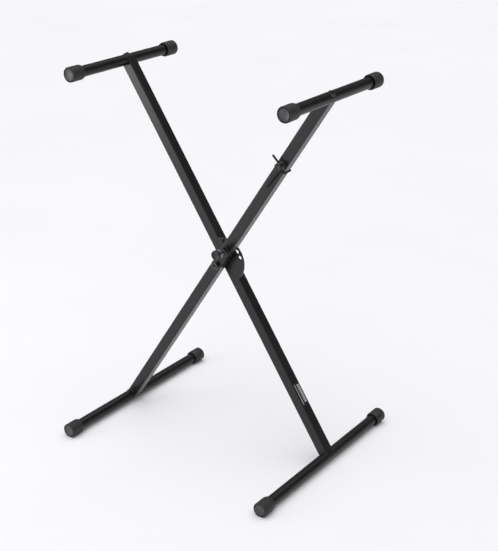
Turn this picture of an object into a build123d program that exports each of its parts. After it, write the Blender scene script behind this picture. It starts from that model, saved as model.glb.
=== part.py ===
from build123d import *
import os
from math import cos, radians, sin

# Single-X folding keyboard stand. Millimetres. The origin is on the floor under the pivot,
# +Z is up, the round tubes lie along Y, and +Y is the side of the rear leg.

# Frame
half_opening = 33.5         # lean of each arm from the vertical, as the stand is set up
arm_reach = 500.0           # pivot to the axis of each round tube, up and down
arm_width = 25.0            # square tube
arm_corner = 2.5
arm_wall = 1.5
arm_offset = 16.5           # centre plane of each arm from Y = 0

# Round tubes and their end caps
top_span = 344.0            # over the caps of a top tube
base_span = 496.0           # over the caps of a base tube
tube_radius = 12.2
tube_wall = 1.5
cap_radius = 16.6
cap_length = 34.0
cap_end_wall = 5.0
cap_taper_length = 4.0      # at the mouth, where the tube goes in
cap_mouth_radius = 15.6
cap_mouth_recess_radius = 14.4
cap_mouth_recess_depth = 5.0
cap_edge_radius = 2.6
cap_ring_outer = 13.8       # shallow ring groove in the end face
cap_ring_inner = 12.6
cap_ring_depth = 1.0
assembly_gap = 0.05         # left round every fixed plug, bolt and cap

# Bolts that hold each top tube to its arm; the base tubes are welded on
tube_bolt_radius = 4.0
tube_bolt_head_radius = 7.5
tube_bolt_head_height = 2.0
tube_bolt_head_edge = 0.9
tube_bolt_grip = 28.0       # from the tube's axis into the arm
tube_bolt_socket = 2.9
tube_bolt_socket_depth = 1.4
plug_length = 20.0

# Pivot
pivot_bolt_radius = 5.0
running_gap = 0.06          # radial clearance of the pivot and of the lock pin in its guide
moving_gap = 0.3            # face clearance between the legs
sleeve_radius = 8.0
washer_radius = 11.5
washer_thickness = 1.6
spacer_radius = 10.5
bolt_head_radius = 8.0
bolt_head_height = 5.5
bolt_head_edge = 2.0
bolt_socket = 3.5
bolt_socket_depth = 3.0
nut_radius = 9.2
nut_height = 8.0
nut_collar_radius = 7.2
nut_collar_height = 2.5
bolt_tail = 2.0

# Clutch bracket on the rear arm
clutch_radius = 54.5
clutch_thickness = 4.0
clutch_flange_depth = 22.0
clutch_flange_half_length = 46.0
clutch_flange_thickness = 3.0
clutch_bend_inside = 1.5
hole_circle = 47.0          # radius of the ring of lock holes about the pivot
hole_radius = 4.7
hole_pitch = 17.5           # degrees between height settings

# Sprung lock pin on the front arm, drawn back clear of the clutch bracket
pin_radius = 4.4
pin_tip_chamfer = 0.9
pin_tip_gap = 0.4           # from the drawn-back tip to the bracket
pin_travel = 4.0
pin_collar_radius = 6.0
pin_collar_thickness = 3.0
pin_stem_radius = 3.0
housing_radius = 8.0
housing_bore_radius = 6.6
housing_guide_length = 5.6
housing_stand = 9.0         # above the front face of the arm
housing_cap_radius = 9.6
housing_cap_height = 4.0
housing_cap_edge = 1.2
spring_radius = 5.2
spring_wire_radius = 0.65
spring_turns = 6
knob_radius = 11.6
knob_length = 13.0
knob_waist_radius = 8.6
knob_waist_length = 3.5
knob_front_from_face = 36.5
knob_edge_radius = 2.2
knob_seat_depth = 8.0

# Strap cleat on the front arm
cleat_along = 315.0         # up the arm from the pivot
peg_radius = 8.4
peg_height = 15.5
peg_flange_radius = 10.2
peg_flange_height = 1.6
peg_edge_radius = 1.5
peg_dish_radius = 5.5       # shallow dish in the peg's front
peg_dish_depth = 1.0
peg_stud_radius = 2.5
peg_stud_top = 2.8          # above the arm's front face, under the bent wire
peg_stud_length = 15.0
cleat_wire_radius = 2.3
horn_height = 8.0           # of the wire's centre line above the arm's front face
tail_height = 2.5
horn_bend_radius = 4.0
horn_points = [(324.0, -26.0), (321.0, -8.0), (309.0, 16.0), (328.0, 24.6)]
tail_points = [(309.0, 3.5), (252.0, 0.0)]

# Name plate on the rear arm
label_along = -345.0
label_length = 57.0
label_width = 19.0
label_thickness = 0.4

lean = radians(half_opening)
pivot_height = cap_radius + arm_reach * cos(lean)
REAR = -1                   # the rear arm's top leans to -X
FRONT = 1                   # the front arm's top leans to +X
TOP = 1
BASE = -1
front_face = -arm_offset - arm_width / 2
back_face = arm_offset + arm_width / 2
arm_gap = 2 * arm_offset - arm_width


def on_arm(side, along, across=0.0):
    """X and Z of a point up an arm from the pivot, and to the +X side of its centre line."""
    x = side * along * sin(lean) + across * cos(lean)
    z = pivot_height + along * cos(lean) - side * across * sin(lean)
    return (x, z)


def on_clutch(angle):
    """X and Z of a point on the ring of lock holes, at an angle from the vertical towards +X."""
    x = hole_circle * sin(radians(angle))
    z = pivot_height + hole_circle * cos(radians(angle))
    return (x, z)


def upright(y):
    """An upright plane across the stand at y, facing -Y, with X and Z as its own x and y."""
    return Plane(origin=(0, y, 0), x_dir=(1, 0, 0), z_dir=(0, -1, 0))


def arm_section(side):
    """The plane across an arm at the pivot, facing up the arm."""
    centre = (0, -side * arm_offset, pivot_height)
    across = (cos(lean), 0, -side * sin(lean))
    up_arm = (side * sin(lean), 0, cos(lean))
    return Plane(origin=centre, x_dir=across, z_dir=up_arm)


def arm_end(side, end):
    """The plane across an arm at the axis of its top or base tube, facing away from the pivot."""
    x, z = on_arm(side, end * arm_reach)
    outward = (end * side * sin(lean), 0, end * cos(lean))
    return Plane(origin=(x, -side * arm_offset, z), x_dir=(0, 1, 0), z_dir=outward)


def finish(piece, node):
    """Name a finished piece and write it."""
    piece.part.label = node
    export_step(piece.part, f"parts/{node}.step")


def cut_tubes(side):
    """Cope the arm, plug or bolt that is being built to the round tubes of its leg."""
    for end in (TOP, BASE):
        with BuildSketch(upright(0)) as bore:
            with Locations(on_arm(side, end * arm_reach)):
                Circle(tube_radius)
        extrude(bore.sketch, amount=3 * arm_width, both=True, mode=Mode.SUBTRACT)


def build_arm(side):
    """A square tube, coped to its round tubes, with a cross hole for the pivot sleeve."""
    with BuildPart() as arm:
        with BuildSketch(arm_section(side)):
            RectangleRounded(arm_width, arm_width, arm_corner)
            inside = arm_width - 2 * arm_wall
            RectangleRounded(inside, inside, arm_corner - arm_wall, mode=Mode.SUBTRACT)
        extrude(amount=arm_reach, both=True)
        cut_tubes(side)
        cross_holes = [((0, pivot_height), sleeve_radius + assembly_gap)]
        if side == FRONT:
            cross_holes.append((on_arm(FRONT, hole_circle), housing_radius + assembly_gap))
        for place, radius in cross_holes:
            with BuildSketch(upright(-side * arm_offset)):
                with Locations(place):
                    Circle(radius)
            extrude(amount=arm_width, both=True, mode=Mode.SUBTRACT)
        if side == FRONT:
            with BuildSketch(upright(front_face)):
                with Locations(on_arm(FRONT, cleat_along)):
                    Circle(peg_stud_radius + assembly_gap)
            extrude(amount=2 * arm_wall, both=True, mode=Mode.SUBTRACT)
    return arm


def build_tube(side, end, span):
    """A round tube along Y; a top tube is drilled across for its bolt."""
    tube_length = span - 2 * cap_end_wall
    with BuildPart() as tube:
        with BuildSketch(upright(0)):
            with Locations(on_arm(side, end * arm_reach)):
                Circle(tube_radius)
                Circle(tube_radius - tube_wall, mode=Mode.SUBTRACT)
        extrude(amount=tube_length / 2, both=True)
        if end == TOP:
            with BuildSketch(arm_end(side, end)):
                Circle(tube_bolt_radius + assembly_gap)
            extrude(amount=2 * tube_radius, both=True, mode=Mode.SUBTRACT)
    return tube


def build_cap(side, end, span, way):
    """A rubber cap over a tube's end, with a hollow mouth and a ring groove in its end face."""
    x, z = on_arm(side, end * arm_reach)
    outer = span / 2
    seat = outer - cap_end_wall
    mouth = outer - cap_length
    bore = tube_radius + assembly_gap
    edge_start = (outer - cap_edge_radius, cap_radius)
    edge_end = (outer, cap_radius - cap_edge_radius)
    with BuildPart() as cap:
        with BuildSketch(Plane(origin=(x, 0, z), x_dir=(0, way, 0), z_dir=(way, 0, 0))):
            with BuildLine():
                Polyline(
                    (seat, 0),
                    (seat, bore),
                    (mouth + cap_mouth_recess_depth, bore),
                    (mouth + cap_mouth_recess_depth, cap_mouth_recess_radius),
                    (mouth, cap_mouth_recess_radius),
                    (mouth, cap_mouth_radius),
                    (mouth + cap_taper_length, cap_radius),
                    edge_start,
                )
                RadiusArc(edge_start, edge_end, cap_edge_radius)
                Polyline(
                    edge_end,
                    (outer, cap_ring_outer),
                    (outer - cap_ring_depth, cap_ring_outer),
                    (outer - cap_ring_depth, cap_ring_inner),
                    (outer, cap_ring_inner),
                    (outer, 0),
                    (seat, 0),
                )
            make_face()
        revolve(axis=Axis((x, 0, z), (0, 1, 0)))
    return cap


def build_plug(side):
    """The threaded steel plug welded inside an arm's top end."""
    size = arm_width - 2 * arm_wall - 2 * assembly_gap
    with BuildPart() as plug:
        with BuildSketch(arm_end(side, TOP)):
            RectangleRounded(size, size, arm_corner - arm_wall)
            Circle(tube_bolt_radius + assembly_gap, mode=Mode.SUBTRACT)
        extrude(amount=-tube_radius - plug_length)
        cut_tubes(side)
    return plug


def build_tube_bolt(side):
    """The bolt that clamps the top tube to an arm, with a low head that sits on the tube."""
    with BuildPart() as bolt:
        with BuildSketch(arm_end(side, TOP).offset(tube_radius / 2)):
            Circle(tube_bolt_head_radius)
        extrude(amount=tube_radius / 2 + tube_bolt_head_height)
        head_top = arm_end(side, TOP).offset(tube_radius + tube_bolt_head_height)
        rims = bolt.edges().filter_by(GeomType.CIRCLE)
        fillet(rims.sort_by_distance(head_top.origin)[0], tube_bolt_head_edge)
        with BuildSketch(head_top):
            RegularPolygon(tube_bolt_socket, 6)
        extrude(amount=-tube_bolt_socket_depth, mode=Mode.SUBTRACT)
        cut_tubes(side)
        with BuildSketch(arm_end(side, TOP).offset(tube_radius + tube_bolt_head_height / 4)):
            Circle(tube_bolt_radius)
        extrude(amount=-tube_radius - tube_bolt_grip)
    return bolt


def build_sleeve(y, inner_radius):
    """A steel sleeve across an arm, round the pivot bolt."""
    with BuildPart() as sleeve:
        with BuildSketch(upright(y)):
            with Locations((0, pivot_height)):
                Circle(sleeve_radius)
                Circle(inner_radius, mode=Mode.SUBTRACT)
        extrude(amount=arm_width / 2, both=True)
    return sleeve


def disc_between(place, radius, front_y, back_y, mode=Mode.ADD):
    """A plain cylinder along Y, inside the part that is being built."""
    with BuildSketch(upright(front_y)) as disc:
        with Locations(place):
            Circle(radius)
    extrude(disc.sketch, amount=front_y - back_y, mode=mode)


os.makedirs("parts", exist_ok=True)

# The two legs: an arm with its plug, two round tubes, their caps and the top tube's bolt
for side, leg in ((REAR, "rear"), (FRONT, "front")):
    finish(build_arm(side), f"{leg}_arm")
    finish(build_plug(side), f"{leg}_arm_plug")
    finish(build_tube_bolt(side), f"{leg}_tube_bolt")
    for end, span, level in ((TOP, top_span, "top"), (BASE, base_span, "base")):
        finish(build_tube(side, end, span), f"{leg}_{level}_tube")
        for way, where in ((-1, "front"), (1, "back")):
            finish(build_cap(side, end, span, way), f"{leg}_{level}_cap_{where}")

# Pivot: a sleeve across each arm, a spacer between the arms, and a bolt with washers and a lock nut
pivot = (0, pivot_height)
finish(build_sleeve(arm_offset, pivot_bolt_radius + assembly_gap), "rear_pivot_sleeve")
finish(build_sleeve(-arm_offset, pivot_bolt_radius + running_gap), "front_pivot_sleeve")

head_seat = front_face - moving_gap - washer_thickness
nut_seat = back_face + washer_thickness

with BuildPart() as pivot_spacer:
    disc_between(pivot, spacer_radius, -arm_gap / 2 + moving_gap, arm_gap / 2)
    disc_between(pivot, pivot_bolt_radius + running_gap, -arm_gap / 2, arm_gap / 2, Mode.SUBTRACT)
finish(pivot_spacer, "pivot_spacer")

with BuildPart() as pivot_washers:
    for front_y in (head_seat, back_face):
        disc_between(pivot, washer_radius, front_y, front_y + washer_thickness)
    disc_between(pivot, pivot_bolt_radius + running_gap, head_seat, nut_seat, Mode.SUBTRACT)
finish(pivot_washers, "pivot_washers")

with BuildPart() as pivot_bolt:
    disc_between(pivot, bolt_head_radius, head_seat - bolt_head_height, head_seat)
    fillet(pivot_bolt.edges().sort_by(Axis.Y)[0], bolt_head_edge)
    with BuildSketch(upright(head_seat - bolt_head_height)):
        with Locations(pivot):
            RegularPolygon(bolt_socket, 6)
    extrude(amount=-bolt_socket_depth, mode=Mode.SUBTRACT)
    disc_between(pivot, pivot_bolt_radius, head_seat, nut_seat + nut_height + bolt_tail)
finish(pivot_bolt, "pivot_bolt")

with BuildPart() as pivot_nut:
    with BuildSketch(upright(nut_seat)):
        with Locations(pivot):
            RegularPolygon(nut_radius, 6)
    extrude(amount=nut_collar_height - nut_height)
    disc_between(pivot, nut_collar_radius, nut_seat, nut_seat + nut_height)
    bore = pivot_bolt_radius + assembly_gap
    disc_between(pivot, bore, nut_seat, nut_seat + nut_height, Mode.SUBTRACT)
finish(pivot_nut, "pivot_nut")

# Clutch bracket: a round-edged plate with the ring of lock holes, folded on to the rear arm's side.
# Its front is at Y = 0, and the flange lies on the side of the arm that faces up.
edge = arm_width / 2
with BuildPart() as clutch_bracket:
    disc_between(pivot, clutch_radius, 0, clutch_thickness)
    with BuildSketch(arm_section(REAR)):
        with Locations((edge - clutch_radius, 0)):
            Rectangle(2 * clutch_radius, 4 * clutch_radius)
    extrude(amount=2 * clutch_radius, both=True, mode=Mode.SUBTRACT)
    with BuildSketch(arm_section(REAR)):
        with Locations((edge, -arm_offset)):
            Rectangle(clutch_flange_thickness, clutch_flange_depth, align=(Align.MIN, Align.MIN))
    extrude(amount=clutch_flange_half_length, both=True)
    inner_bend = Vector(*on_arm(REAR, 0, edge + clutch_flange_thickness))
    bend_place = Vector(inner_bend.X, clutch_thickness, inner_bend.Y)
    fillet(clutch_bracket.edges().sort_by_distance(bend_place)[0], clutch_bend_inside)
    for step in range(-2, 3):
        spot = on_clutch(half_opening + step * hole_pitch)
        disc_between(spot, hole_radius, -clutch_thickness, 2 * clutch_thickness, Mode.SUBTRACT)
finish(clutch_bracket, "clutch_bracket")

# Lock pin, drawn back: housing across the front arm, screwed cap, spring, pin and pull knob
lock = on_arm(FRONT, hole_circle)
housing_back = -arm_gap / 2
housing_front = front_face - housing_stand
guide_end = housing_back - housing_guide_length
pin_tip = -pin_tip_gap
collar_back = guide_end - pin_travel - pin_tip_gap
collar_front = collar_back - pin_collar_thickness
cap_front = housing_front - housing_cap_height
knob_front = front_face - knob_front_from_face

with BuildPart() as pin_housing:
    disc_between(lock, housing_radius, housing_front, housing_back)
    disc_between(lock, housing_bore_radius, housing_front, guide_end, Mode.SUBTRACT)
    disc_between(lock, pin_radius + running_gap, housing_front, housing_back, Mode.SUBTRACT)
finish(pin_housing, "pin_housing")

with BuildPart() as housing_cap:
    disc_between(lock, housing_cap_radius, cap_front, housing_front + housing_cap_height)
    fillet(housing_cap.edges().sort_by(Axis.Y)[0], housing_cap_edge)
    cap_back = housing_front + housing_cap_height
    disc_between(lock, housing_radius + assembly_gap, housing_front, cap_back, Mode.SUBTRACT)
    disc_between(lock, pin_stem_radius + running_gap, cap_front, housing_front, Mode.SUBTRACT)
finish(housing_cap, "housing_cap")

spring_space = collar_front - housing_front
spring_height = spring_space - 2 * spring_wire_radius - 2 * assembly_gap
spring_front = housing_front + spring_wire_radius + assembly_gap
with BuildPart() as lock_spring:
    with BuildLine() as coil:
        start = (lock[0], spring_front, lock[1])
        pitch = spring_height / spring_turns
        Helix(pitch, spring_height, spring_radius, center=start, direction=(0, 1, 0))
    with BuildSketch(Plane(origin=coil.line @ 0, z_dir=coil.line % 0)):
        Circle(spring_wire_radius)
    sweep(path=coil.line, is_frenet=True)
finish(lock_spring, "lock_spring")

with BuildPart() as lock_pin:
    disc_between(lock, pin_radius, collar_back, pin_tip)
    chamfer(lock_pin.edges().sort_by(Axis.Y)[-1], pin_tip_chamfer)
    disc_between(lock, pin_collar_radius, collar_front, collar_back)
    disc_between(lock, pin_stem_radius, knob_front + knob_length - knob_seat_depth, collar_front)
finish(lock_pin, "lock_pin")

with BuildPart() as pull_knob:
    disc_between(lock, knob_radius, knob_front, knob_front + knob_length - knob_waist_length)
    fillet(pull_knob.edges().filter_by(GeomType.CIRCLE), knob_edge_radius)
    disc_between(lock, knob_waist_radius, knob_front + knob_length / 2, knob_front + knob_length)
    seat = knob_front + knob_length - knob_seat_depth
    knob_back = knob_front + knob_length
    disc_between(lock, pin_stem_radius + assembly_gap, seat, knob_back, Mode.SUBTRACT)
finish(pull_knob, "pull_knob")

# Strap cleat: a peg on a stud in the front arm, with a bent wire and a straight wire through it
cleat = on_arm(FRONT, cleat_along)


def wire_path(height, points, bend_radius):
    """A bent line parallel to the front arm's face, through points along and across the arm."""
    places = [on_arm(FRONT, along, across) for along, across in points]
    with BuildLine(upright(front_face - height)) as path:
        if len(places) > 2:
            FilletPolyline(*places, radius=bend_radius)
        else:
            Line(*places)
    return path.line


def sweep_wire(path, radius, mode=Mode.ADD):
    """A round wire along a path, inside the part that is being built."""
    with BuildSketch(Plane(origin=path @ 0, z_dir=path % 0)) as section:
        Circle(radius)
    sweep(section.sketch, path=path, mode=mode)


horn_path = wire_path(horn_height, horn_points, horn_bend_radius)
tail_path = wire_path(tail_height, tail_points, horn_bend_radius)

with BuildPart() as cleat_wires:
    sweep_wire(horn_path, cleat_wire_radius)
    sweep_wire(tail_path, cleat_wire_radius)
finish(cleat_wires, "cleat_wires")

peg_front = front_face - peg_height
stud_front = front_face - peg_stud_top
with BuildPart() as strap_peg:
    disc_between(cleat, peg_flange_radius, front_face - peg_flange_height, front_face)
    disc_between(cleat, peg_radius, peg_front, front_face)
    fillet(strap_peg.edges().sort_by(Axis.Y)[0], peg_edge_radius)
    disc_between(cleat, peg_dish_radius, peg_front, peg_front + peg_dish_depth, Mode.SUBTRACT)
    disc_between(cleat, peg_stud_radius + assembly_gap, stud_front, front_face, Mode.SUBTRACT)
    sweep_wire(horn_path, cleat_wire_radius + assembly_gap, Mode.SUBTRACT)
    sweep_wire(tail_path, cleat_wire_radius + assembly_gap, Mode.SUBTRACT)
finish(strap_peg, "strap_peg")

with BuildPart() as peg_stud:
    disc_between(cleat, peg_stud_radius, stud_front, stud_front + peg_stud_length)
finish(peg_stud, "peg_stud")

# Plain name plate on the upper side of the rear arm's lower half
with BuildPart() as rear_label:
    with BuildSketch(arm_section(REAR).offset(label_along)):
        with Locations((edge, 0)):
            Rectangle(label_thickness, label_width, align=(Align.MIN, Align.CENTER))
    extrude(amount=label_length / 2, both=True)
finish(rear_label, "rear_label")
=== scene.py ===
import bpy
from math import atan2, cos, hypot, pi, radians, sin
from mathutils import Matrix, Vector


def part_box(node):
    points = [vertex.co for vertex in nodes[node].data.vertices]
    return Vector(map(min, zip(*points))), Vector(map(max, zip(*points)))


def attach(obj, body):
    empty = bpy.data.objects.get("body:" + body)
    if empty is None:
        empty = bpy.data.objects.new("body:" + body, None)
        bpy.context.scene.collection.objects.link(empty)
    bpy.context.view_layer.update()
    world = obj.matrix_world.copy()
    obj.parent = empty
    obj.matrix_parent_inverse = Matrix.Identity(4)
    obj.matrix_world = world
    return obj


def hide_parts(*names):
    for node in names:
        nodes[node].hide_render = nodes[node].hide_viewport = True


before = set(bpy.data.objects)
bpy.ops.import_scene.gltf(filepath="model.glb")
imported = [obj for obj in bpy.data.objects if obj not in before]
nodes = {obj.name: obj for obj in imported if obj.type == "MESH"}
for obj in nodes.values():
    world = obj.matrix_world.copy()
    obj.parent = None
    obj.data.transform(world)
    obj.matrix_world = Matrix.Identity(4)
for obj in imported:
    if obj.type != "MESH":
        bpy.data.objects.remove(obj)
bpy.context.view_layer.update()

# The camera stands to the right of the stand's front and a little above it, with a long lens.
# It looks slightly down at a point near the middle of the crossed arms.
look_at = Vector((0.0693, 0.0, 0.4147))
camera_azimuth = radians(36.08)
camera_elevation = radians(23.14)
camera_distance = 2.5519
camera_roll = radians(-0.16)
away = Vector((
    sin(camera_azimuth) * cos(camera_elevation),
    -cos(camera_azimuth) * cos(camera_elevation),
    sin(camera_elevation),
))
camera_data = bpy.data.cameras.new("camera")
camera_data.lens = 75.2
camera_data.sensor_width = 36.0
camera_data.clip_end = 60.0
camera = bpy.data.objects.new("camera", camera_data)
bpy.context.scene.collection.objects.link(camera)
camera.location = look_at + camera_distance * away
facing = (-away).to_track_quat("-Z", "Y").to_matrix()
camera.rotation_euler = (facing @ Matrix.Rotation(camera_roll, 3, "Z")).to_euler()
bpy.context.scene.camera = camera


# The two arms are square steel tube with a satin black powder coat, coped to the round tubes.
# The powder melts into a skin with a faint orange peel and slightly uneven gloss, so flat faces
# carry soft, blurred reflections instead of one even grey. The lock pin's housing is coated too.
def paint(hex_colour):
    """A six-digit sRGB colour as the linear RGBA that shaders work in."""
    shares = [int(hex_colour[i:i + 2], 16) / 255 for i in (0, 2, 4)]
    linear = [s / 12.92 if s <= 0.04045 else ((s + 0.055) / 1.055) ** 2.4 for s in shares]
    return (*linear, 1.0)


def add_node(tree, kind, settings=None, **inputs):
    """One shader node with its settings, its sockets set to values or linked from other nodes."""
    node = tree.nodes.new(kind)
    for name, value in (settings or {}).items():
        setattr(node, name, value)
    for name, value in inputs.items():
        socket = node.inputs[name.replace("_", " ")]
        if isinstance(value, bpy.types.NodeSocket):
            tree.links.new(value, socket)
        else:
            socket.default_value = value
    return node


def new_finish(name):
    """An empty material, with its node tree and its Object coordinates."""
    finish = bpy.data.materials.new(name)
    finish.use_nodes = True
    tree = finish.node_tree
    tree.nodes.clear()
    return finish, tree, add_node(tree, "ShaderNodeTexCoord").outputs["Object"]


def two_tones(tree, pattern, dark, light):
    """A colour that goes from one hex tone to another across the middle of a pattern's range."""
    ramp = add_node(tree, "ShaderNodeValToRGB", Fac=pattern)
    for stop, place, tone in zip(ramp.color_ramp.elements, (0.35, 0.65), (dark, light)):
        stop.position = place
        stop.color = paint(tone)
    return ramp.outputs["Color"]


def show(tree, surface):
    """Send a surface shader to the material's output."""
    add_node(tree, "ShaderNodeOutputMaterial", Surface=surface.outputs["BSDF"])


def coat(piece, finish):
    """Give a piece one finish all over."""
    piece.data.materials.clear()
    piece.data.materials.append(finish)


peel_cell = 0.0013
peel_depth = 0.00012
gloss_cloud = 0.09
powder_coat, tree, place = new_finish("powder_coat_satin_black")
peel = add_node(tree, "ShaderNodeTexNoise", Vector=place, Scale=1 / peel_cell, Detail=3.0)
cloud = add_node(tree, "ShaderNodeTexNoise", Vector=place, Scale=1 / gloss_cloud, Detail=5.0)
gloss = add_node(tree, "ShaderNodeMapRange", Value=cloud.outputs["Fac"], To_Min=0.22, To_Max=0.33)
skin = add_node(tree, "ShaderNodeBump", Height=peel.outputs["Fac"], Strength=0.3, Distance=peel_depth)
show(tree, add_node(
    tree, "ShaderNodeBsdfPrincipled",
    Base_Color=two_tones(tree, cloud.outputs["Fac"], "121214", "19191b"),
    Roughness=gloss.outputs["Result"], Normal=skin.outputs["Normal"], IOR=1.45,
))
for name in ("rear_arm", "front_arm", "clutch_bracket", "pin_housing"):
    coat(nodes[name], powder_coat)

# The round tubes that carry the keyboard and stand on the floor are steel in stoved black enamel.
# Enamel flows out smoother than powder, so each tube is black along its middle between two soft
# bright lines, with a slight long-wave unevenness.
flow_wave = 0.02
flow_depth = 0.0003
enamel, tree, place = new_finish("stove_enamel_black")
flow = add_node(tree, "ShaderNodeTexNoise", Vector=place, Scale=1 / flow_wave, Detail=3.0)
gloss = add_node(tree, "ShaderNodeMapRange", Value=flow.outputs["Fac"], To_Min=0.3, To_Max=0.4)
skin = add_node(tree, "ShaderNodeBump", Height=flow.outputs["Fac"], Strength=0.1, Distance=flow_depth)
show(tree, add_node(
    tree, "ShaderNodeBsdfPrincipled",
    Base_Color=two_tones(tree, flow.outputs["Fac"], "0c0c0d", "111112"),
    Roughness=gloss.outputs["Result"], Normal=skin.outputs["Normal"], IOR=1.38,
))
for name in ("rear_top_tube", "rear_base_tube", "front_top_tube", "front_base_tube"):
    coat(nodes[name], enamel)

# Eight moulded rubber caps slip over the tube ends, to grip the keyboard above and the floor below.
# Each has a rounded end with a ring groove round a shallow dish, and a hollow mouth with a thin lip.
# The moulded skin is matte with a pale bloom in patches; the dish was polished in the mould, and
# its rubber is painted lighter than the rest: a painted highlight for the light its end face catches.
rubber_grit = 0.0009  # drawn coarser than the mould's own, so that it shows
grit_depth = 0.00012
bloom_patch = 0.026
rubber, tree, place = new_finish("moulded_rubber_black")
grain = add_node(tree, "ShaderNodeTexNoise", Vector=place, Scale=1 / rubber_grit, Detail=2.0)
bloom = add_node(tree, "ShaderNodeTexNoise", Vector=place, Scale=1 / bloom_patch, Detail=5.0)
worn = add_node(tree, "ShaderNodeMapRange", Value=bloom.outputs["Fac"], To_Min=0.52, To_Max=0.7)
skin = add_node(tree, "ShaderNodeBump", Height=grain.outputs["Fac"], Strength=0.4, Distance=grit_depth)
show(tree, add_node(
    tree, "ShaderNodeBsdfPrincipled",
    Base_Color=two_tones(tree, bloom.outputs["Fac"], "1b1b1c", "252526"),
    Roughness=worn.outputs["Result"], Normal=skin.outputs["Normal"], IOR=1.5,
))

# The dish's lighter base colour is painted light; its lower roughness is the real polish.
dish_rubber_painted_light, tree, place = new_finish("dish_rubber_black_painted_light")
bloom = add_node(tree, "ShaderNodeTexNoise", Vector=place, Scale=1 / bloom_patch, Detail=5.0)
worn = add_node(tree, "ShaderNodeMapRange", Value=bloom.outputs["Fac"], To_Min=0.3, To_Max=0.42)
show(tree, add_node(
    tree, "ShaderNodeBsdfPrincipled",
    Base_Color=two_tones(tree, bloom.outputs["Fac"], "343436", "424244"),
    Roughness=worn.outputs["Result"], IOR=1.52,
))


def start(add, **size):
    """Add one primitive with nothing else selected, and leave it in edit mode."""
    bpy.ops.object.select_all(action="DESELECT")
    add(**size)
    bpy.ops.object.mode_set(mode="EDIT")
    bpy.ops.mesh.select_all(action="DESELECT")
    return bpy.context.active_object


def pick_faces(piece, test):
    """Select only the faces whose middle and normal, in the piece's own axes, pass a test."""
    bpy.ops.mesh.select_mode(type="FACE")
    bpy.ops.mesh.select_all(action="DESELECT")
    bpy.ops.object.mode_set(mode="OBJECT")
    for face in piece.data.polygons:
        face.select = test(face.center, face.normal)
    bpy.ops.object.mode_set(mode="EDIT")


def pick_edges(piece, test):
    """Select only the edges whose two ends, in the piece's own axes, pass a test."""
    bpy.ops.mesh.select_mode(type="EDGE")
    bpy.ops.mesh.select_all(action="DESELECT")
    bpy.ops.object.mode_set(mode="OBJECT")
    for edge in piece.data.edges:
        edge.select = all(test(piece.data.vertices[end].co) for end in edge.vertices)
    bpy.ops.object.mode_set(mode="EDIT")


def sink(depth):
    """Extrude the selected faces into the piece by a depth, or out of it by a negative one."""
    bpy.ops.mesh.extrude_region_shrink_fatten(TRANSFORM_OT_shrink_fatten={"value": -depth})


def close(piece, name, smooth_angle=35):
    """Leave edit mode, with normals outward, smooth shading, and the place held in the mesh."""
    bpy.ops.mesh.select_all(action="SELECT")
    bpy.ops.mesh.remove_doubles(threshold=0.000005)
    bpy.ops.mesh.normals_make_consistent(inside=False)
    bpy.ops.object.mode_set(mode="OBJECT")
    bpy.ops.object.transform_apply(location=True, rotation=True, scale=True)
    bpy.ops.object.shade_smooth_by_angle(angle=radians(smooth_angle))
    piece.name = name


def reach(point):
    """How far a point is from the piece's own Z axis."""
    return hypot(point.x, point.y)


cap_low, cap_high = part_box("rear_top_cap_front")
cap_radius = (cap_high.z - cap_low.z) / 2
cap_length = cap_high.y - cap_low.y
tube_low, tube_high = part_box("rear_top_tube")
tube_radius = (tube_high.z - tube_low.z) / 2
end_radius = 0.0012
ring_outer = 0.0140
ring_inner = 0.0123
ring_depth = 0.0017
dish_steps = ((0.0012, 0.0002), (0.0016, 0.0005), (0.0026, 0.0005), (0.0034, 0.0003))
lip_radius = 0.0156
lip_taper = 0.004
mouth_radius = 0.0146
mouth_depth = 0.005
end_wall = 0.005
cap_grip = 0.0002
small_edge = 0.0003
near = 0.0001  # places closer than this count as one
cap = start(bpy.ops.mesh.primitive_cylinder_add, vertices=80, radius=cap_radius, depth=cap_length)
cap_half = cap_length / 2
pick_faces(cap, lambda middle, normal: normal.z > 0.9)
bpy.ops.mesh.inset(thickness=cap_radius - ring_outer)
bpy.ops.mesh.inset(thickness=ring_outer - ring_inner)
for step, fall in dish_steps:
    bpy.ops.mesh.inset(thickness=step, depth=-fall)
pick_faces(
    cap, lambda middle, normal: normal.z > 0.9 and ring_inner < reach(middle) + near < ring_outer
)
sink(ring_depth)
pick_faces(cap, lambda middle, normal: normal.z < -0.9)
bpy.ops.mesh.inset(thickness=cap_radius - mouth_radius)
sink(mouth_depth)
bpy.ops.mesh.inset(thickness=mouth_radius - tube_radius - cap_grip)
sink(cap_length - mouth_depth - end_wall)
bpy.ops.mesh.select_all(action="SELECT")
bpy.ops.mesh.bisect(plane_co=(0, 0, lip_taper - cap_half), plane_no=(0, 0, 1))
pick_edges(cap, lambda end: end.z < near - cap_half and reach(end) > cap_radius - near)
shrink = lip_radius / cap_radius
bpy.ops.transform.resize(value=(shrink, shrink, 1), center_override=(0, 0, 0))
pick_edges(cap, lambda end: end.z < near - cap_half)
bpy.ops.mesh.bevel(offset=small_edge, segments=2)
pick_edges(cap, lambda end: end.z > cap_half - near and reach(end) > cap_radius - near)
bpy.ops.mesh.bevel(offset=end_radius, segments=6)
pick_edges(
    cap, lambda end: end.z > cap_half - near and ring_inner - near < reach(end) < ring_outer + near
)
bpy.ops.mesh.bevel(offset=small_edge, segments=3)
close(cap, "cap_master")
cap.data.materials.append(rubber)
cap.data.materials.append(dish_rubber_painted_light)
# The dish inside the ring groove gets the lighter rubber, a painted highlight.
for face in cap.data.polygons:
    in_end = face.center.z > cap_half - end_wall / 2
    face.material_index = int(in_end and reach(face.center) < ring_inner)

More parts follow.
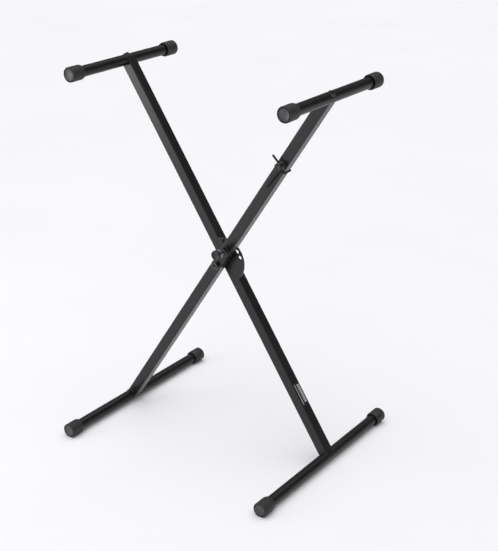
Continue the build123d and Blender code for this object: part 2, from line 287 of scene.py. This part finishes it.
for leg in ("rear", "front"):
    for level in ("top", "base"):
        for where, way in (("front", -1), ("back", 1)):
            node = f"{leg}_{level}_cap_{where}"
            low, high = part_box(node)
            fitted = cap.copy()
            fitted.data = cap.data.copy()
            bpy.context.scene.collection.objects.link(fitted)
            spot = Matrix.Translation((low + high) / 2)
            fitted.data.transform(spot @ Matrix.Rotation(-way * pi / 2, 4, "X"))
            fitted.name = f"rubber_{leg}_{level}_{where}"
            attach(fitted, f"{leg}_leg")
            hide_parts(node)
bpy.data.objects.remove(cap)

# The pivot bolt with its washers and nut, the low-headed bolts of the top tubes and the lock's cap
# are steel with a black oxide finish: dark grey metal, dry and even, that catches small hard
# glints on its rounded edges.
oxide_mottle = 0.004
black_oxide, tree, place = new_finish("black_oxide_steel")
mottle = add_node(tree, "ShaderNodeTexNoise", Vector=place, Scale=1 / oxide_mottle, Detail=4.0)
dry = add_node(tree, "ShaderNodeMapRange", Value=mottle.outputs["Fac"], To_Min=0.22, To_Max=0.34)
show(tree, add_node(
    tree, "ShaderNodeBsdfPrincipled",
    Base_Color=two_tones(tree, mottle.outputs["Fac"], "444446", "58585a"),
    Metallic=1.0, Roughness=dry.outputs["Result"],
))
for name in ("pivot_bolt", "pivot_washers", "pivot_nut", "rear_tube_bolt", "front_tube_bolt"):
    coat(nodes[name], black_oxide)

# A nylon ring is pressed into the lock nut's collar so that it can't shake loose, and a nylon spacer
# keeps the arms' coats from rubbing. Moulded nylon is slightly waxy, with a soft broad sheen.
wax_cloud = 0.006
nylon, tree, place = new_finish("moulded_nylon_black")
wax = add_node(tree, "ShaderNodeTexNoise", Vector=place, Scale=1 / wax_cloud, Detail=3.0)
sheen = add_node(tree, "ShaderNodeMapRange", Value=wax.outputs["Fac"], To_Min=0.38, To_Max=0.5)
show(tree, add_node(
    tree, "ShaderNodeBsdfPrincipled",
    Base_Color=two_tones(tree, wax.outputs["Fac"], "202022", "2a2a2c"),
    Roughness=sheen.outputs["Result"], IOR=1.53,
))
coat(nodes["pivot_spacer"], nylon)

nut_low, nut_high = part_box("pivot_nut")
ring_radius = 0.0060
ring_thickness = 0.0006
ring_flatness = 0.6
pivot_height = (nut_low.z + nut_high.z) / 2
nut_ring = start(
    bpy.ops.mesh.primitive_torus_add, major_radius=ring_radius, minor_radius=ring_thickness,
    major_segments=64, minor_segments=12, location=(0, nut_high.y, pivot_height),
    rotation=(pi / 2, 0, 0),
)
bpy.ops.mesh.select_all(action="SELECT")
bpy.ops.transform.resize(value=(1, ring_flatness, 1), center_override=(0, nut_high.y, 0))
close(nut_ring, "lock_nut_ring")
coat(nut_ring, nylon)
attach(nut_ring, "rear_leg")

# The folded clutch bracket and the base tube are welded to the rear arm; the other base tube and
# the lock pin's housing are welded to the front arm. The beads lie under the powder coat, so they
# show only as low rippled ridges.
arm_lean = radians(33.5)
arm_reach = 0.5
arm_offset = 0.0165
arm_half = 0.0125
flange_half = 0.046
flange_back = 0.022
corner_bead_y = 0.0135
corner_bead_length = 0.015
stitch_along = 0.03
stitch_length = 0.02
weld_radius = 0.0015
bead_slice = 0.0006
bead_rise = 0.0004
bead_clear = 0.0006
saddle_rise = 0.0002
saddle_start = 0.001
ripple_size = 0.0016
ripple_height = 0.0005
ripple = bpy.data.textures.new("weld_ripple", "CLOUDS")
ripple.noise_scale = ripple_size
pivot = Vector((0, 0, pivot_height))
up_rear = Vector((-sin(arm_lean), 0, cos(arm_lean)))
off_rear = Vector((cos(arm_lean), 0, sin(arm_lean)))


def coated_bead(bead, name, body):
    """Finish a smooth bead as a weld: rippled, coated with the arm it lies on, and on its body."""
    close(bead, name, smooth_angle=60)
    wave = bead.modifiers.new("ripple", "DISPLACE")
    wave.texture = ripple
    wave.texture_coords = "GLOBAL"
    wave.strength = ripple_height
    bpy.ops.object.modifier_apply(modifier=wave.name)
    coat(bead, powder_coat)
    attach(bead, body)


def weld_run(name, middle, direction, length):
    """A straight weld bead on the rear arm, tapered at its ends."""
    turn = Vector(direction).to_track_quat("Z", "Y").to_euler()
    bead = start(
        bpy.ops.mesh.primitive_cylinder_add, vertices=14, radius=weld_radius, depth=length,
        location=middle, rotation=turn,
    )
    bpy.ops.mesh.select_all(action="SELECT")
    cuts = int(length / bead_slice)
    for cut in range(1, cuts):
        spot = Vector(middle) + (cut / cuts - 0.5) * length * Vector(direction)
        bpy.ops.mesh.bisect(plane_co=spot, plane_no=direction)
        bpy.ops.mesh.select_all(action="SELECT")
    for end in (-1, 1):
        pick_faces(bead, lambda centre, normal: normal.z * end > 0.9)
        tip = Vector(middle) + end * length / 2 * Vector(direction)
        bpy.ops.transform.resize(value=(0.5, 0.5, 0.5), center_override=tip)
        bpy.ops.mesh.inset(thickness=weld_radius / 4, depth=weld_radius / 4)
    coated_bead(bead, name, "rear_leg")


for end, level in ((1, "upper"), (-1, "lower")):
    on_side = pivot + off_rear * (arm_half + bead_rise)
    corner = on_side + up_rear * end * (flange_half + bead_clear) + Vector((0, corner_bead_y, 0))
    weld_run(f"weld_flange_{level}", corner, (0, 1, 0), corner_bead_length)
    stitch = on_side + up_rear * end * stitch_along + Vector((0, flange_back + bead_clear, 0))
    weld_run(f"weld_stitch_{level}", stitch, up_rear, stitch_length)

for leg, side in (("rear", -1), ("front", 1)):
    up_arm = Vector((side * sin(arm_lean), 0, cos(arm_lean)))
    toe = pivot - arm_reach * up_arm
    for face, way in (("front", -1), ("back", 1)):
        saddle = start(
            bpy.ops.mesh.primitive_torus_add, major_radius=tube_radius + saddle_rise,
            minor_radius=weld_radius, major_segments=120, minor_segments=12,
            location=(toe.x, way * arm_half - side * arm_offset, toe.z), rotation=(pi / 2, 0, 0),
        )
        bpy.ops.mesh.select_all(action="SELECT")
        bpy.ops.mesh.bisect(
            plane_co=toe + saddle_start * up_arm, plane_no=up_arm, clear_inner=True, use_fill=True,
        )
        coated_bead(saddle, f"weld_{leg}_base_{face}", f"{leg}_leg")

housing_low, housing_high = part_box("pin_housing")
housing_x = (housing_low.x + housing_high.x) / 2
housing_z = (housing_low.z + housing_high.z) / 2
housing_radius = (housing_high.x - housing_low.x) / 2
arm_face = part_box("front_arm")[0].y
collar = start(
    bpy.ops.mesh.primitive_torus_add, major_radius=housing_radius + bead_rise,
    minor_radius=weld_radius, major_segments=96, minor_segments=12,
    location=(housing_x, arm_face, housing_z), rotation=(pi / 2, 0, 0),
)
coated_bead(collar, "weld_housing", "front_leg")

# The lock pin's housing is closed by a turned cap with a fine straight knurl, so that it can be
# screwed off by hand. It has a plain rounded nose and a small lip round the pin's stem.
nose_low, nose_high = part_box("housing_cap")
nose_radius = (nose_high.x - nose_low.x) / 2
nose_length = nose_high.y - nose_low.y
nose_edge = 0.0006
nose_steps = ((0.0008, 0.0), (0.0036, 0.0), (0.0006, 0.0005))
knurl_teeth = 36
knurl_depth = 0.0004
tooth_shift = 0.06  # keeps the teeth's corners clear of a gap's ends
nose = start(
    bpy.ops.mesh.primitive_cylinder_add, vertices=4 * knurl_teeth, radius=nose_radius,
    depth=nose_length, location=(nose_low + nose_high) / 2, rotation=(pi / 2, 0, 0),
)


def in_tooth_gap(point, teeth, share):
    """Whether a point lies in one of the even gaps between teeth round the piece's Z axis."""
    turn = (atan2(point.y, point.x) / (2 * pi) * teeth + tooth_shift) % 1.0
    return turn < share


pick_edges(nose, lambda end: abs(end.z) > nose_length / 2 - near)
bpy.ops.mesh.bevel(offset=nose_edge, segments=3)
pick_faces(nose, lambda middle, normal: normal.z > 0.99)
for step, fall in nose_steps:
    bpy.ops.mesh.inset(thickness=step, depth=-fall)
nose_side = nose_radius - nose_edge - near
pick_edges(nose, lambda end: reach(end) > nose_side and in_tooth_gap(end, knurl_teeth, 0.5))
shrink = 1 - knurl_depth / nose_radius
bpy.ops.transform.resize(value=(shrink, 1, shrink), center_override=(housing_x, 0, housing_z))
close(nose, "housing_nose", smooth_angle=40)
coat(nose, black_oxide)
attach(nose, "front_leg")
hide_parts("housing_cap")

# The lock pin is turned steel with bright zinc plate, and so is the ferrule behind its knob. Zinc
# has a cool white shine with fine turning lines round the axis, slightly clouded by passivation.
passivation_cloud = 0.005
turning_pitch = 0.004
turning_depth = 0.00005
zinc, tree, place = new_finish("bright_zinc_plate")
cloud = add_node(tree, "ShaderNodeTexNoise", Vector=place, Scale=1 / passivation_cloud, Detail=4.0)
turning = add_node(
    tree, "ShaderNodeTexWave", {"bands_direction": "Y"}, Vector=place, Scale=1 / turning_pitch,
    Distortion=0.6,
)
dull = add_node(tree, "ShaderNodeMapRange", Value=cloud.outputs["Fac"], To_Min=0.12, To_Max=0.24)
lines = add_node(
    tree, "ShaderNodeBump", Height=turning.outputs["Fac"], Strength=0.1, Distance=turning_depth,
)
show(tree, add_node(
    tree, "ShaderNodeBsdfPrincipled",
    Base_Color=two_tones(tree, cloud.outputs["Fac"], "c2c5c8", "d6d8da"),
    Metallic=1.0, Roughness=dull.outputs["Result"], Normal=lines.outputs["Normal"],
))
coat(nodes["lock_pin"], zinc)

# The pull knob is moulded in black ABS: a dished front, shallow finger flutes round the side, and a
# waist behind. ABS from a spark-eroded mould has an even fine grain with a low satin shine.
abs_grain = 0.0007  # drawn coarser than the mould's own, so that it shows
grain_depth = 0.0001
handled_patch = 0.008
abs_plastic, tree, place = new_finish("moulded_abs_black")
grain = add_node(tree, "ShaderNodeTexNoise", Vector=place, Scale=1 / abs_grain, Detail=2.0)
handled = add_node(tree, "ShaderNodeTexNoise", Vector=place, Scale=1 / handled_patch, Detail=4.0)
satin = add_node(tree, "ShaderNodeMapRange", Value=handled.outputs["Fac"], To_Min=0.3, To_Max=0.42)
skin = add_node(
    tree, "ShaderNodeBump", Height=grain.outputs["Fac"], Strength=0.25, Distance=grain_depth,
)
show(tree, add_node(
    tree, "ShaderNodeBsdfPrincipled",
    Base_Color=two_tones(tree, handled.outputs["Fac"], "121214", "19191b"),
    Roughness=satin.outputs["Result"], Normal=skin.outputs["Normal"], IOR=1.53,
))

knob_low, knob_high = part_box("pull_knob")
knob_x = (knob_low.x + knob_high.x) / 2
knob_z = (knob_low.z + knob_high.z) / 2
knob_radius = (knob_high.x - knob_low.x) / 2
waist_length = 0.0035
waist_radius = 0.0086
body_length = knob_high.y - knob_low.y - waist_length
knob_edge = 0.0016
knob_steps = ((0.0010, 0.0), (0.0005, 0.0018), (0.0026, 0.0007), (0.0036, 0.0003))
flutes = 12
flute_depth = 0.0005
knob = start(
    bpy.ops.mesh.primitive_cylinder_add, vertices=8 * flutes, radius=knob_radius,
    depth=body_length, location=(knob_x, knob_low.y + body_length / 2, knob_z),
    rotation=(pi / 2, 0, 0),
)
pick_edges(knob, lambda end: abs(end.z) > body_length / 2 - near)
bpy.ops.mesh.bevel(offset=knob_edge, segments=5)
pick_faces(knob, lambda middle, normal: normal.z > 0.99)
for step, fall in knob_steps:
    bpy.ops.mesh.inset(thickness=step, depth=-fall)
pick_faces(knob, lambda middle, normal: normal.z < -0.99)
bpy.ops.mesh.inset(thickness=knob_radius - knob_edge - waist_radius)
sink(-waist_length)
knob_side = knob_radius - knob_edge - near
pick_edges(knob, lambda end: reach(end) > knob_side and in_tooth_gap(end, flutes, 0.45))
shrink = 1 - flute_depth / knob_radius
bpy.ops.transform.resize(value=(shrink, 1, shrink), center_override=(knob_x, 0, knob_z))
close(knob, "pull_knob_moulded", smooth_angle=40)
coat(knob, abs_plastic)
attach(knob, "lock_pin")
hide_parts("pull_knob")

ferrule_radius = 0.0113
ferrule_length = 0.0016
ferrule_edge = 0.0004
ferrule_y = knob_low.y + body_length + ferrule_length / 2
ferrule = start(
    bpy.ops.mesh.primitive_cylinder_add, vertices=96, radius=ferrule_radius,
    depth=ferrule_length, location=(knob_x, ferrule_y, knob_z), rotation=(pi / 2, 0, 0),
)
pick_faces(ferrule, lambda middle, normal: normal.z < -0.9)
bpy.ops.mesh.inset(thickness=ferrule_radius - waist_radius - ferrule_edge, depth=ferrule_edge)
ferrule_rim = ferrule_length / 2 - near
pick_edges(ferrule, lambda end: reach(end) > ferrule_radius - near and abs(end.z) > ferrule_rim)
bpy.ops.mesh.bevel(offset=ferrule_edge, segments=3)
close(ferrule, "knob_ferrule", smooth_angle=40)
coat(ferrule, zinc)
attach(ferrule, "lock_pin")

# The strap cleat's peg is moulded in the same ABS, with a flange on the arm, a rounded rim and a
# dished front. A bent wire and a straight one pass through it, both steel, dipped in black
# lacquer that dries with slight runs in its gloss.
lacquer_run = 0.006
wire_lacquer, tree, place = new_finish("black_lacquered_wire")
runs = add_node(tree, "ShaderNodeTexNoise", Vector=place, Scale=1 / lacquer_run, Detail=3.0)
wet = add_node(tree, "ShaderNodeMapRange", Value=runs.outputs["Fac"], To_Min=0.42, To_Max=0.54)
show(tree, add_node(
    tree, "ShaderNodeBsdfPrincipled",
    Base_Color=two_tones(tree, runs.outputs["Fac"], "0a0a0b", "101011"),
    Roughness=wet.outputs["Result"], IOR=1.36,
))
coat(nodes["cleat_wires"], wire_lacquer)

peg_low, peg_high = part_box("strap_peg")
peg_foot = Vector(((peg_low.x + peg_high.x) / 2, peg_high.y, (peg_low.z + peg_high.z) / 2))
peg_height = peg_high.y - peg_low.y
# radius and height of each point on the peg's outline, from the arm up to the dish
peg_outline = (
    (0.0, 0.0), (0.0101, 0.0), (0.0102, 0.0002), (0.0102, 0.0011), (0.0099, 0.0015),
    (0.0089, 0.0019), (0.0085, 0.0026), (0.0083, peg_height - 0.0018),
    (0.0080, peg_height - 0.0008), (0.0073, peg_height - 0.0002), (0.0066, peg_height),
    (0.0060, peg_height - 0.0002), (0.0056, peg_height - 0.0008),
    (0.0042, peg_height - 0.0013), (0.0, peg_height - 0.0015),
)
peg = start(bpy.ops.mesh.primitive_plane_add, size=0.001, location=peg_foot)
bpy.ops.mesh.select_mode(type="VERT")
bpy.ops.mesh.select_all(action="SELECT")
bpy.ops.mesh.merge(type="CENTER")
for (radius, height), (next_radius, next_height) in zip(peg_outline, peg_outline[1:]):
    move = (next_radius - radius, height - next_height, 0)
    bpy.ops.mesh.extrude_region_move(TRANSFORM_OT_translate={"value": move})
bpy.ops.mesh.select_all(action="SELECT")
bpy.ops.mesh.spin(steps=64, angle=2 * pi, center=peg_foot, axis=(0, 1, 0))
close(peg, "strap_peg_moulded", smooth_angle=40)
coat(peg, abs_plastic)
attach(peg, "front_leg")
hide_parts("strap_peg")

# Inside the arms are the threaded plugs, the pivot sleeves and the peg's stud, all turned from plain
# bright steel. A thin film of oil lies on them in patches, so that they shine unevenly.
oil_patch = 0.012
bare_steel, tree, place = new_finish("turned_bare_steel")
oil = add_node(tree, "ShaderNodeTexNoise", Vector=place, Scale=1 / oil_patch, Detail=4.0)
film = add_node(tree, "ShaderNodeMapRange", Value=oil.outputs["Fac"], To_Min=0.25, To_Max=0.4)
show(tree, add_node(
    tree, "ShaderNodeBsdfPrincipled",
    Base_Color=two_tones(tree, oil.outputs["Fac"], "8a8784", "a09d9a"),
    Metallic=1.0, Roughness=film.outputs["Result"],
))
for name in (
    "rear_arm_plug", "front_arm_plug", "rear_pivot_sleeve", "front_pivot_sleeve", "peg_stud",
):
    coat(nodes[name], bare_steel)

# The lock spring is wound from cold-drawn spring wire and sits in the lock pin's housing. Oil
# tempering leaves the wire a dark blue-grey, with small marks of scale that are a little duller.
scale_mark = 0.0015
spring_steel, tree, place = new_finish("oil_tempered_spring_wire")
scale = add_node(tree, "ShaderNodeTexNoise", Vector=place, Scale=1 / scale_mark, Detail=4.0)
drawn = add_node(tree, "ShaderNodeMapRange", Value=scale.outputs["Fac"], To_Min=0.3, To_Max=0.45)
show(tree, add_node(
    tree, "ShaderNodeBsdfPrincipled",
    Base_Color=two_tones(tree, scale.outputs["Fac"], "55575c", "6e7075"),
    Metallic=1.0, Roughness=drawn.outputs["Result"],
))
coat(nodes["lock_spring"], spring_steel)

# The name plate is a thin black vinyl film with rounded corners, on the upper side of the rear arm's
# lower half. Its print is slightly uneven screen ink: a thin pale line beside a row of plain pale
# blocks, like keys.
lay_patch = 0.01
screen_mesh = 0.0012  # drawn coarser than the printer's screen, so that it shows
vinyl, tree, place = new_finish("black_vinyl_film")
lay = add_node(tree, "ShaderNodeTexNoise", Vector=place, Scale=1 / lay_patch, Detail=3.0)
shine = add_node(tree, "ShaderNodeMapRange", Value=lay.outputs["Fac"], To_Min=0.26, To_Max=0.34)
show(tree, add_node(
    tree, "ShaderNodeBsdfPrincipled",
    Base_Color=two_tones(tree, lay.outputs["Fac"], "131315", "1a1a1c"),
    Roughness=shine.outputs["Result"], IOR=1.52,
))
ink, tree, place = new_finish("pale_screen_ink")
laid = add_node(tree, "ShaderNodeTexNoise", Vector=place, Scale=1 / screen_mesh, Detail=3.0)
cover = add_node(tree, "ShaderNodeMapRange", Value=laid.outputs["Fac"], To_Min=0.45, To_Max=0.6)
show(tree, add_node(
    tree, "ShaderNodeBsdfPrincipled",
    Base_Color=two_tones(tree, laid.outputs["Fac"], "acacae", "d0d0d2"),
    Roughness=cover.outputs["Result"], IOR=1.5,
))

film_length = 0.057
film_width = 0.019
film_thickness = 0.0004
corner_radius = 0.0015
block_count = 9
block_pitch = 0.0050
block_across = 0.0034
block_half = (0.0042, 0.0014)
# middle and half size of each printed patch, across and up the film, starting with the line
patches = [((-0.0077, -0.0005), (0.0008, 0.0250))]
for block in range(block_count):
    along = (block - (block_count - 1) / 2) * block_pitch
    patches.append(((block_across, along), block_half))
film_low, film_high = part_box("rear_label")
film_middle = (film_low + film_high) / 2
plate = start(
    bpy.ops.mesh.primitive_cube_add, size=1, location=film_middle, rotation=(0, -arm_lean, 0),
    scale=(film_thickness, film_width, film_length),
)
bpy.ops.object.mode_set(mode="OBJECT")
bpy.ops.object.transform_apply(location=False, rotation=False, scale=True)
bpy.ops.object.mode_set(mode="EDIT")
for side_y in (-1, 1):
    for side_z in (-1, 1):
        pick_edges(plate, lambda end: (
            end.y * side_y > film_width / 2 - near and end.z * side_z > film_length / 2 - near
        ))
        bpy.ops.mesh.bevel(offset=corner_radius, segments=5)
for (across, along), (half_width, half_length) in patches:
    for way in (-1, 1):
        bpy.ops.mesh.select_all(action="SELECT")
        edge_y = film_middle + Vector((0, across + way * half_width, 0))
        bpy.ops.mesh.bisect(plane_co=edge_y, plane_no=(0, 1, 0))
        bpy.ops.mesh.select_all(action="SELECT")
        edge_z = film_middle + up_rear * (along + way * half_length)
        bpy.ops.mesh.bisect(plane_co=edge_z, plane_no=up_rear)
bpy.ops.object.mode_set(mode="OBJECT")
plate.data.materials.append(vinyl)
plate.data.materials.append(ink)
for face in plate.data.polygons:
    for (across, along), (half_width, half_length) in patches:
        beside = abs(face.center.y - across) < half_width
        level = abs(face.center.z - along) < half_length
        if face.normal.x > 0.9 and beside and level:
            face.material_index = 1
bpy.ops.object.mode_set(mode="EDIT")
close(plate, "plain_name_plate")
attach(plate, "rear_leg")
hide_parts("rear_label")

# The stand is on a plain pale studio floor, under one broad soft light overhead. A softbox stands
# low at the front left, some light also comes from the front, and the rest of the room is dim,
# which keeps the black coats black. The backdrop is lit on its own, for the camera only.
floor_patch = 0.6
floor = start(bpy.ops.mesh.primitive_plane_add, size=60.0)
bpy.ops.object.mode_set(mode="OBJECT")
floor.name = "studio_floor"
floor_paint, tree, place = new_finish("matt_floor_paint")
patch = add_node(tree, "ShaderNodeTexNoise", Vector=place, Scale=1 / floor_patch, Detail=3.0)
show(tree, add_node(
    tree, "ShaderNodeBsdfDiffuse", Color=two_tones(tree, patch.outputs["Fac"], "efeff1", "f1f1f3"),
))
coat(floor, floor_paint)

overhead_light = 2.0
overhead_edge = 0.62
overhead_full = 0.86
front_light = 0.5
front_edge = -0.25
front_full = -0.85
room_light = 0.16
backdrop_light = 0.95
lamp_white = paint("fefeff")
world = bpy.data.worlds.new("studio")
bpy.context.scene.world = world
world.use_nodes = True
tree = world.node_tree
tree.nodes.clear()
outward = add_node(tree, "ShaderNodeTexCoord").outputs["Generated"]
heading = add_node(tree, "ShaderNodeSeparateXYZ", Vector=outward)
overhead = add_node(
    tree, "ShaderNodeMapRange", {"interpolation_type": "SMOOTHSTEP"}, Value=heading.outputs["Z"],
    From_Min=overhead_edge, From_Max=overhead_full, To_Min=room_light, To_Max=overhead_light,
)
front = add_node(
    tree, "ShaderNodeMapRange", {"interpolation_type": "SMOOTHSTEP"}, Value=heading.outputs["Y"],
    From_Min=front_edge, From_Max=front_full, To_Min=0.0, To_Max=front_light,
)
lights = add_node(tree, "ShaderNodeMath", {"operation": "ADD"})
tree.links.new(overhead.outputs["Result"], lights.inputs[0])
tree.links.new(front.outputs["Result"], lights.inputs[1])
lit_room = add_node(
    tree, "ShaderNodeBackground", Color=lamp_white, Strength=lights.outputs["Value"],
)
backdrop = add_node(tree, "ShaderNodeBackground", Color=lamp_white, Strength=backdrop_light)
seen = add_node(tree, "ShaderNodeLightPath").outputs["Is Camera Ray"]
both = add_node(tree, "ShaderNodeMixShader", Fac=seen)
tree.links.new(lit_room.outputs["Background"], both.inputs[1])
tree.links.new(backdrop.outputs["Background"], both.inputs[2])
add_node(tree, "ShaderNodeOutputWorld", Surface=both.outputs["Shader"])

softbox_radiance = 3.0
softbox_size = 0.9
softbox_data = bpy.data.lights.new("softbox", "AREA")
softbox_data.shape = "SQUARE"
softbox_data.size = softbox_size
softbox_data.energy = softbox_radiance * pi * softbox_size ** 2
softbox = bpy.data.objects.new("softbox", softbox_data)
bpy.context.scene.collection.objects.link(softbox)
softbox.location = (-1.65, -1.5, 0.58)
softbox.rotation_euler = (look_at - softbox.location).to_track_quat("-Z", "Y").to_euler()
softbox.visible_camera = False
bpy.context.scene.view_settings.view_transform = "Standard"
bpy.context.scene.view_settings.look = "None"
